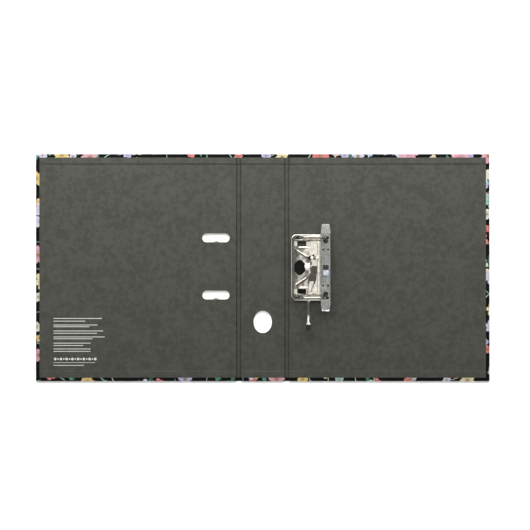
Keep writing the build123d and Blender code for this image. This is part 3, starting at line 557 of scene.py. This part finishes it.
def wrap_finish(case, clouds, flowers, leaves):
    """Black laminated paper printed all over with small flowers and stems."""
    material, tree, shader, where = finish("Printed wrap")
    green = use(tree, leaves, {"Vector": where})
    leaf = blend_colour(tree, green["Shade"], case.wrap_ground, case.stem_green)
    base = blend_colour(tree, green["Stems"], case.wrap_ground, STEM_PALE)
    base = blend_colour(tree, green["Leaves"], base, leaf)
    moved = vector(tree, "ADD", where, SMALL_SHIFT)
    for place, cells, radius, petals, gaps in (
        (moved, SMALL_CELLS, case.bud_size, SMALL_PETALS, SMALL_GAPS),
        (where, LARGE_CELLS, case.bloom_size, LARGE_PETALS, LARGE_GAPS),
    ):
        values = {"Vector": place, "Cells": cells, "Radius": radius, "Petals": petals, "Gaps": gaps}
        base = flower_layer(tree, base, flowers, values)
    tree.links.new(base, shader.inputs["Base Color"])
    paper = use(tree, clouds, {"Vector": where, "Cloud Scale": 260.0})
    tree.links.new(times_plus(tree, paper["Clouds"], 0.14, 0.42), shader.inputs["Roughness"])
    shader.inputs["Specular IOR Level"].default_value = 0.05
    relief(tree, shader, times_plus(tree, paper["Fibres"], 0.3, paper["Clouds"]), 0.00004)
    return material


def board_finish(case, clouds):
    """Raw recycled greyboard."""
    material, tree, shader, where = finish("Greyboard")
    paper = use(tree, clouds, {"Vector": where, "Cloud Scale": 420.0})
    dark = [value * 0.7 for value in case.board_grey]
    base = blend_colour(tree, paper["Fibres"], dark, case.board_grey)
    base = blend_colour(tree, times(tree, paper["Flecks"], 0.6), base, (0.05, 0.05, 0.05))
    tree.links.new(base, shader.inputs["Base Color"])
    tree.links.new(times_plus(tree, paper["Clouds"], 0.1, 0.85), shader.inputs["Roughness"])
    relief(tree, shader, paper["Fibres"], 0.0001)
    return material


def ink_finish(ink, clouds):
    """Pale ink that the paper shows through a little."""
    material, tree, shader, where = finish("Pale ink")
    paper = use(tree, clouds, {"Vector": where, "Cloud Scale": 900.0})
    thin = [value * 0.62 for value in ink]
    tree.links.new(blend_colour(tree, paper["Fibres"], thin, ink), shader.inputs["Base Color"])
    tree.links.new(times_plus(tree, paper["Clouds"], 0.15, 0.6), shader.inputs["Roughness"])
    relief(tree, shader, paper["Fibres"], 0.00002)
    return material


# ---- finishes of the mechanism


def plated_finish(name, tone, plating, size, rough=0.04, along=(1.0, 0.06, 1.0), dulling=0.06, waves=0.0002):
    """Plated steel: a tone that smudges dull, pressing waves, drawn grain and pin pricks."""
    material, tree, shader, where = finish(name)
    values = {"Vector": where, "Smudge Scale": 1 / size, "Along": along}
    marks = use(tree, plating, values)
    dull = [value * DULL_SHARE for value in tone]
    base = blend_colour(tree, times(tree, marks["Smudge"], 0.6), tone, dull)
    base = blend_colour(tree, times(tree, marks["Pits"], 0.6), base, PIT_BROWN)
    tree.links.new(base, shader.inputs["Base Color"])
    shader.inputs["Metallic"].default_value = 1.0
    dulled = times_plus(tree, marks["Smudge"], dulling, rough)
    tree.links.new(times_plus(tree, marks["Grain"], 0.04, dulled), shader.inputs["Roughness"])
    height = times_plus(tree, marks["Grain"], 0.008, marks["Waves"])
    height = times_plus(tree, marks["Pits"], -0.02, height)
    relief(tree, shader, height, waves)
    return material


def thumb_finish(parts, plating):
    """Bright zinc on the thumb plate, with painted shade on its strip inside the bar: darkened to the spring
    steel colour below the bar's top.
    """
    material = plated_finish("Thumb plate zinc", parts.bright_zinc, plating, parts.smudge_size, 0.08)
    tree = material.node_tree
    shader = tree.nodes["Principled BSDF"]
    where = tree.nodes.new("ShaderNodeTexCoord").outputs["Object"]
    height = add(tree, "SeparateXYZ", {0: where}).outputs["Z"]
    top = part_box("compressor_bar")[1][2]
    # Painted shade: the strip inside the bar is darkened below the bar's top, where it lies in shadow
    strip_unshaded = step(tree, height, top - STRIP_SHADE_FROM, top - STRIP_SHADE_TO)
    bright = shader.inputs["Base Color"].links[0].from_socket
    tree.links.new(blend_colour(tree, strip_unshaded, parts.steel, bright), shader.inputs["Base Color"])
    return material


def moulded_finish(name, tone, grain, rough, worn, specular=0.5, depth=0.00003):
    """Moulded plastic or rubber with fine grain that rubs shiny."""
    material, tree, shader, where = finish(name)
    marks = use(tree, grain, {"Vector": where})
    tree.links.new(blend_colour(tree, marks["Rubbed"], tone, worn), shader.inputs["Base Color"])
    tree.links.new(times_plus(tree, marks["Rubbed"], -0.12, rough), shader.inputs["Roughness"])
    shader.inputs["Specular IOR Level"].default_value = specular
    relief(tree, shader, marks["Grain"], depth)
    return material


def give(material, *nodes):
    """Put a finish in every slot of the CAD nodes."""
    for name in nodes:
        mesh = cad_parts[name].data
        mesh.materials.clear()
        mesh.materials.append(material)


# ---- modelling


def start_fresh():
    """Leave edit mode and select nothing."""
    if bpy.context.mode != "OBJECT":
        bpy.ops.object.mode_set(mode="OBJECT")
    bpy.ops.object.select_all(action="DESELECT")


def merged_copy(name, node):
    """New closed mesh in the shape of a CAD node."""
    start_fresh()
    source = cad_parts[node]
    source.select_set(True)
    bpy.context.view_layer.objects.active = source
    bpy.ops.object.duplicate()
    copy = bpy.context.object
    copy.name = copy.data.name = name
    copy.parent = None
    for tag in list(copy.keys()):
        del copy[tag]
    copy.data.materials.clear()
    bpy.ops.object.mode_set(mode="EDIT")
    bpy.ops.mesh.select_all(action="SELECT")
    bpy.ops.mesh.remove_doubles(threshold=TOUCH)
    bpy.ops.object.mode_set(mode="OBJECT")
    bpy.ops.object.shade_smooth_by_angle(angle=SMOOTH_BELOW)
    return copy


def plane(name, middle, width, depth):
    """Flat sheet at its size and place, with its place in its mesh."""
    start_fresh()
    bpy.ops.mesh.primitive_plane_add(size=1.0, location=middle)
    sheet = bpy.context.object
    sheet.name = sheet.data.name = name
    sheet.scale = (width, depth, 1.0)
    bpy.ops.object.transform_apply(location=True, rotation=True, scale=True)
    return sheet


def pick_edges(obj, wanted):
    """In edit mode, select only the edges whose two ends both pass."""
    bpy.ops.object.mode_set(mode="EDIT")
    bpy.ops.mesh.select_mode(type="EDGE")
    bpy.ops.mesh.select_all(action="DESELECT")
    bpy.ops.object.mode_set(mode="OBJECT")
    mesh = obj.data
    for edge in mesh.edges:
        edge.select = all(wanted(mesh.vertices[i].co) for i in edge.vertices)
    if not any(edge.select for edge in mesh.edges):
        raise RuntimeError(f"{obj.name}: no edge to shape")
    bpy.ops.object.mode_set(mode="EDIT")


def pull(obj, wanted, *moves):
    """Extrude the picked edges by one move after another."""
    pick_edges(obj, wanted)
    for move in moves:
        bpy.ops.mesh.extrude_edges_move(TRANSFORM_OT_translate={"value": move})
    bpy.ops.object.mode_set(mode="OBJECT")


def cut_across(axis, places):
    """Cut the sheet with planes square to an axis."""
    normal = [float(n == axis) for n in range(3)]
    for place in places:
        bpy.ops.object.mode_set(mode="EDIT")
        bpy.ops.mesh.select_all(action="SELECT")
        point = [place * n for n in normal]
        bpy.ops.mesh.bisect(plane_co=point, plane_no=normal)
        bpy.ops.object.mode_set(mode="OBJECT")


def face_out():
    """In edit mode, turn all faces outwards or to one side."""
    bpy.ops.mesh.select_all(action="SELECT")
    bpy.ops.mesh.normals_make_consistent(inside=False)
    bpy.ops.object.mode_set(mode="OBJECT")


def upward(sheet):
    """Turn the sheet's faces to one side, up."""
    bpy.ops.object.mode_set(mode="EDIT")
    face_out()
    if sum(face.normal.z * face.area for face in sheet.data.polygons) < 0:
        bpy.ops.object.mode_set(mode="EDIT")
        bpy.ops.mesh.flip_normals()
        bpy.ops.object.mode_set(mode="OBJECT")


def make_sheet(sheet, across, along, thickness):
    """Cut the sheet so that it bends, and give it its thickness and rounded shading."""
    cut_across(0, across)
    cut_across(1, along)
    upward(sheet)
    solid = sheet.modifiers.new("Thickness", "SOLIDIFY")
    solid.thickness = thickness * SHEET_SLACK
    solid.offset = 0.0
    solid.use_even_offset = True
    bpy.ops.object.modifier_apply(modifier=solid.name)
    bpy.ops.object.shade_smooth_by_angle(angle=SMOOTH_BELOW)
    return sheet


def spread(low, high, count):
    """Evenly spaced places between low and high, without the two ends."""
    return [low + (high - low) * n / count for n in range(1, count)]


def hinge_wrap(name, node, case):
    """Wrap paper across a hinge groove, its ends turned in."""
    low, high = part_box(node)
    paper = case.paper
    middle = ((low[0] + high[0]) / 2, 0.0, low[2] + paper / 2)
    depth = high[1] - low[1] - paper
    sheet = plane(name, middle, high[0] - low[0], depth)
    for side in (1, -1):
        edge = side * depth / 2
        fold = (0.0, 0.0, paper)
        back = (0.0, -side * (TURN_IN - paper), 0.0)
        pull(sheet, lambda co, edge=edge: abs(co.y - edge) < TOUCH and co.z < low[2] + paper, fold, back)
    across = spread(low[0], high[0], WRAP_CUTS_ACROSS)
    return make_sheet(sheet, across, spread(low[1] + TURN_IN, high[1] - TURN_IN, CUTS_ALONG), paper)


def hinge_lining(name, node, case):
    """Lining pressed down into a hinge groove and up its two board edges."""
    low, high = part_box(node)
    wall = case.lining
    floor = low[2] + wall / 2
    rise = high[2] - wall / 2 - floor
    middle = ((low[0] + high[0]) / 2, (low[1] + high[1]) / 2, floor)
    sheet = plane(name, middle, high[0] - low[0] - 2 * LINING_CURVE, high[1] - low[1])
    for side in (1, -1):
        edge = middle[0] + side * ((high[0] - low[0]) / 2 - LINING_CURVE)
        moves = [(side * LINING_CURVE * out, 0.0, rise * up) for out, up in CURVE_STEPS]
        pull(sheet, lambda co, edge=edge: abs(co.x - edge) < TOUCH, *moves)
    across = spread(low[0] + LINING_CURVE, high[0] - LINING_CURVE, LINING_CUTS_ACROSS)
    return make_sheet(sheet, across, spread(low[1], high[1], CUTS_ALONG), wall)


def ink_mark(middle, width, height, film, turned=0.0):
    """One printed mark with softened corners and the thickness of its ink."""
    mark = plane("Mark", (0.0, 0.0, 0.0), width, height)
    bpy.ops.object.mode_set(mode="EDIT")
    bpy.ops.mesh.select_all(action="SELECT")
    bpy.ops.mesh.bevel(offset=min(width, height) * 0.3, segments=3, affect="VERTICES")
    bpy.ops.mesh.extrude_region_move(TRANSFORM_OT_translate={"value": (0.0, 0.0, film)})
    face_out()
    mark.rotation_euler = (0.0, 0.0, turned)
    mark.location = middle
    bpy.ops.object.transform_apply(location=True, rotation=True, scale=True)
    return mark


def print_marks(inks, ground):
    """All ruled lines and the row of large and small diamonds, lying at height ground."""
    marks = []
    for y, right, share in (*((y, right, 1.0) for y, right in RULES), *LAST_RULES):
        middle = ((RULE_LEFT + right) / 2 * MM, y * MM, ground)
        marks.append(ink_mark(middle, (right - RULE_LEFT) * MM, inks.line_height * share, inks.film))
    for n in range(DIAMOND_COUNT):
        side = inks.mark_size * (0.96 if n % 2 else 1.6)
        middle = ((DIAMOND_LEFT + DIAMOND_PITCH * n) * MM, DIAMOND_HEIGHT * MM, ground)
        marks.append(ink_mark(middle, side, side, inks.film, radians(45)))
    return marks


# ---- operators


class LEVERFILE_OT_hinge_strips(bpy.types.Operator):
    """Model the paper and lining strips that bend at the two grooves"""

    bl_idname = "leverfile.hinge_strips"
    bl_label = "Hinge strips"

    def execute(self, context):
        case = context.scene.lever_file_case
        for end, bodies in (("rear", ("back_cover", "spine")), ("front", ("spine", "front_cover"))):
            for kind, make in (("wrap", hinge_wrap), ("lining", hinge_lining)):
                node = f"{end}_groove_{kind}"
                strip = make(f"{end}_hinge_{kind}", node, case)
                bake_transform(strip)
                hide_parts(node)
        return {"FINISHED"}


class LEVERFILE_OT_release_coil(bpy.types.Operator):
    """Replace the release spring under the thumb button with a merged, smooth-shaded copy of its coil"""

    bl_idname = "leverfile.release_coil"
    bl_label = "Release coil"

    def execute(self, context):
        coil = merged_copy("release_coil", "release_spring")
        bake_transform(coil)
        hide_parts("release_spring")
        return {"FINISHED"}


class LEVERFILE_OT_ruled_print(bpy.types.Operator):
    """Lay the pale ruled lines and the row of diamonds on the front cover's lining"""

    bl_idname = "leverfile.ruled_print"
    bl_label = "Ruled print"

    def execute(self, context):
        marks = print_marks(context.scene.lever_file_print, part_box("front_groove_lining")[1][2])
        start_fresh()
        for mark in marks:
            mark.select_set(True)
        context.view_layer.objects.active = marks[0]
        bpy.ops.object.join()
        block = context.object
        block.name = block.data.name = "front_cover_print"
        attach(block, "front_cover")
        return {"FINISHED"}


class LEVERFILE_OT_case_finish(bpy.types.Operator):
    """Give boards, wrap, lining and print their paper finishes"""

    bl_idname = "leverfile.case_finish"
    bl_label = "Case finishes"

    def execute(self, context):
        case = context.scene.lever_file_case
        clouds = paper_group()
        lining = lining_finish(case, clouds)
        wrap = wrap_finish(case, clouds, flower_group(), leaf_group())
        board = board_finish(case, clouds)
        for panel in ("back", "spine", "front"):
            give(lining, f"{panel}_lining")
            give(wrap, f"{panel}_wrap")
            give(board, f"{panel}_board")
        for end in ("rear", "front"):
            give(lining, f"{end}_groove_lining")
            give(wrap, f"{end}_groove_wrap")
            bpy.data.objects[f"{end}_hinge_lining"].data.materials.append(lining)
            bpy.data.objects[f"{end}_hinge_wrap"].data.materials.append(wrap)
        ink = ink_finish(context.scene.lever_file_print.ink, clouds)
        bpy.data.objects["front_cover_print"].data.materials.append(ink)
        return {"FINISHED"}


class LEVERFILE_OT_metal_finish(bpy.types.Operator):
    """Give the rings and the mechanism's steel pieces their plating"""

    bl_idname = "leverfile.metal_finish"
    bl_label = "Metal finishes"

    def execute(self, context):
        parts = context.scene.lever_file_mechanism
        plating, size, nickel = plating_group(), parts.smudge_size, parts.nickel
        # Painted shade: the arch wire is a darkened copy of the plate's nickel
        wire = [value * WIRE_SHADE_SHARE for value in nickel]
        all_round, across = (1.0, 1.0, 1.0), (1.0, 0.04, 1.0)
        give(plated_finish("Plate nickel", nickel, plating, size, waves=0.00016), "base_plate")
        wire = plated_finish("Wire nickel", wire, plating, size, 0.03, (0.3, 0.3, 0.3), 0.04, 0.00002)
        give(wire, "arch_wire")
        give(plated_finish("Lever nickel", nickel, plating, size, 0.05), "lever_arm")
        pins = plated_finish("Pin nickel", nickel, plating, size, 0.08, all_round, 0.1, 0.00002)
        give(pins, "post_head", "post_foot", "roller_pin", "mounting_rivets")
        rings = plated_finish("Ring nickel", nickel, plating, size, 0.15, (0.4, 0.4, 1.0), 0.1, 0.00005)
        give(rings, "finger_ring", "slot_ring_head", "slot_ring_foot")
        give(plated_finish("Bar zinc", parts.zinc, plating, size, 0.14, across, 0.14), "compressor_bar")
        give(thumb_finish(parts, plating), "thumb_button")
        steel = plated_finish("Spring steel", parts.steel, plating, size, 0.25, all_round)
        # The lever's pivot pin gets this dark steel as painted shade, for the dark streak beside the lever's
        # head
        give(steel, "release_spring", "grip_plate_head", "grip_plate_foot", "lever_pivot_pin")
        bpy.data.objects["release_coil"].data.materials.append(steel)
        return {"FINISHED"}


class LEVERFILE_OT_moulded_finish(bpy.types.Operator):
    """Give the lever's cap, the roller and the damping pad their finishes"""

    bl_idname = "leverfile.moulded_finish"
    bl_label = "Moulded finishes"

    def execute(self, context):
        parts = context.scene.lever_file_mechanism
        grain = grain_group()
        give(moulded_finish("Cap plastic", parts.cap, grain, 0.42, (0.016, 0.016, 0.015), 0.3), "lever_cap")
        # The roller's white is partly its nylon and partly a painted highlight
        give(moulded_finish("Roller nylon", parts.nylon, grain, 0.3, (0.84, 0.84, 0.81)), "roller")
        # Painted shade: the near-black pad stands in for the deep shade seen through the base plate's windows
        pad = moulded_finish("Pad rubber", parts.rubber, grain, 0.95, (0.008, 0.008, 0.007), 0.1, 0.0001)
        give(pad, "damping_pad")
        return {"FINISHED"}


class LEVERFILE_OT_studio(bpy.types.Operator):
    """Add the pale floor, the softboxes and the camera straight above"""

    bl_idname = "leverfile.studio"
    bl_label = "Floor, lights and camera"

    def execute(self, context):
        studio = context.scene.lever_file_studio
        self.add_floor(studio)
        for name, place, turn, size, setting, share in SOFTBOXES:
            self.add_softbox(name, place, turn, size, getattr(studio, setting) * share)
        self.add_room(context, studio)
        self.add_camera(context, studio)
        context.scene.view_settings.view_transform = "Standard"
        return {"FINISHED"}

    def add_floor(self, studio):
        """Round pale floor just under the file."""
        start_fresh()
        place = (0.0, 0.0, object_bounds()[0][2] - FLOOR_GAP)
        bpy.ops.mesh.primitive_circle_add(vertices=128, radius=FLOOR_RADIUS, fill_type="NGON", location=place)
        bpy.ops.object.transform_apply(location=True, rotation=True, scale=True)
        floor = bpy.context.object
        floor.name = floor.data.name = "floor"
        bpy.ops.object.mode_set(mode="EDIT")
        bpy.ops.mesh.select_all(action="SELECT")
        bpy.ops.mesh.extrude_region_move(TRANSFORM_OT_translate={"value": (0.0, 0.0, -FLOOR_DEPTH)})
        face_out()
        floor.data.materials.append(self.floor_finish(studio))
        floor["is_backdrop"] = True

    def floor_finish(self, studio):
        """Matte pale floor with a faint tooth."""
        material, tree, shader, where = finish("Studio floor")
        tooth = noise(tree, where, 300.0, 2.0)
        near = [value * 0.99 for value in studio.floor]
        tree.links.new(blend_colour(tree, tooth, near, studio.floor), shader.inputs["Base Color"])
        shader.inputs["Roughness"].default_value = 0.9
        shader.inputs["Specular IOR Level"].default_value = 0.1
        return material

    def add_softbox(self, name, place, turn, size, power):
        """Rectangular light that doesn't show itself."""
        start_fresh()
        bpy.ops.object.light_add(type="AREA", location=place, rotation=[radians(angle) for angle in turn])
        light = bpy.context.object
        light.name = light.data.name = name
        light.data.shape = "RECTANGLE"
        light.data.size, light.data.size_y = size
        light.data.energy = power
        light.visible_camera = False

    def add_room(self, context, studio):
        """Dim even room, seen as a pale backdrop behind the floor."""
        room = bpy.data.worlds.new("Room")
        room.use_nodes = True
        context.scene.world = room
        tree = room.node_tree
        background = tree.nodes["Background"]
        background.inputs["Color"].default_value = (1.0, 1.0, 1.0, 1.0)
        seen = add(tree, "LightPath").outputs["Is Camera Ray"]
        strength = add(tree, "MapRange", {"Value": seen, "To Min": studio.room, "To Max": studio.backdrop})
        tree.links.new(strength.outputs["Result"], background.inputs["Strength"])

    def add_camera(self, context, studio):
        """Camera that looks straight down on the spine."""
        start_fresh()
        bpy.ops.object.camera_add(location=(*CAMERA_PLACE, studio.camera_height), rotation=(0.0, 0.0, 0.0))
        camera = context.object
        camera.name = camera.data.name = "Camera"
        camera.data.lens = studio.lens
        camera.data.sensor_width = SENSOR_WIDTH
        camera.data.clip_start = 0.01
        camera.data.clip_end = 60.0
        context.scene.camera = camera


class LEVERFILE_PT_sidebar(bpy.types.Panel):
    """Steps that build the file's looks"""

    bl_idname = "LEVERFILE_PT_sidebar"
    bl_label = "Lever arch file"
    bl_space_type = "VIEW_3D"
    bl_region_type = "UI"
    bl_category = "Lever file"

    def draw(self, context):
        for made in STEPS:
            self.layout.operator(made.bl_idname)
        for group_name in SETTINGS:
            settings = getattr(context.scene, group_name)
            box = self.layout.box()
            for name in settings.__annotations__:
                box.prop(settings, name)


SETTINGS = {
    "lever_file_case": CaseSettings,
    "lever_file_mechanism": MechanismSettings,
    "lever_file_print": PrintSettings,
    "lever_file_studio": StudioSettings,
}
STEPS = (
    LEVERFILE_OT_hinge_strips,
    LEVERFILE_OT_release_coil,
    LEVERFILE_OT_ruled_print,
    LEVERFILE_OT_case_finish,
    LEVERFILE_OT_metal_finish,
    LEVERFILE_OT_moulded_finish,
    LEVERFILE_OT_studio,
)


def register():
    """Register the settings, the steps and the panel."""
    for made in (*SETTINGS.values(), *STEPS, LEVERFILE_PT_sidebar):
        bpy.utils.register_class(made)
    for name, made in SETTINGS.items():
        setattr(bpy.types.Scene, name, bpy.props.PointerProperty(type=made))


def unregister():
    """Undo register."""
    for name in SETTINGS:
        delattr(bpy.types.Scene, name)
    for made in (LEVERFILE_PT_sidebar, *reversed(STEPS), *SETTINGS.values()):
        bpy.utils.unregister_class(made)


def main():
    """Build everything in order."""
    register()
    bpy.ops.leverfile.hinge_strips()
    bpy.ops.leverfile.release_coil()
    bpy.ops.leverfile.ruled_print()
    bpy.ops.leverfile.case_finish()
    bpy.ops.leverfile.metal_finish()
    bpy.ops.leverfile.moulded_finish()
    bpy.ops.leverfile.studio()


if __name__ == "__main__":
    main()
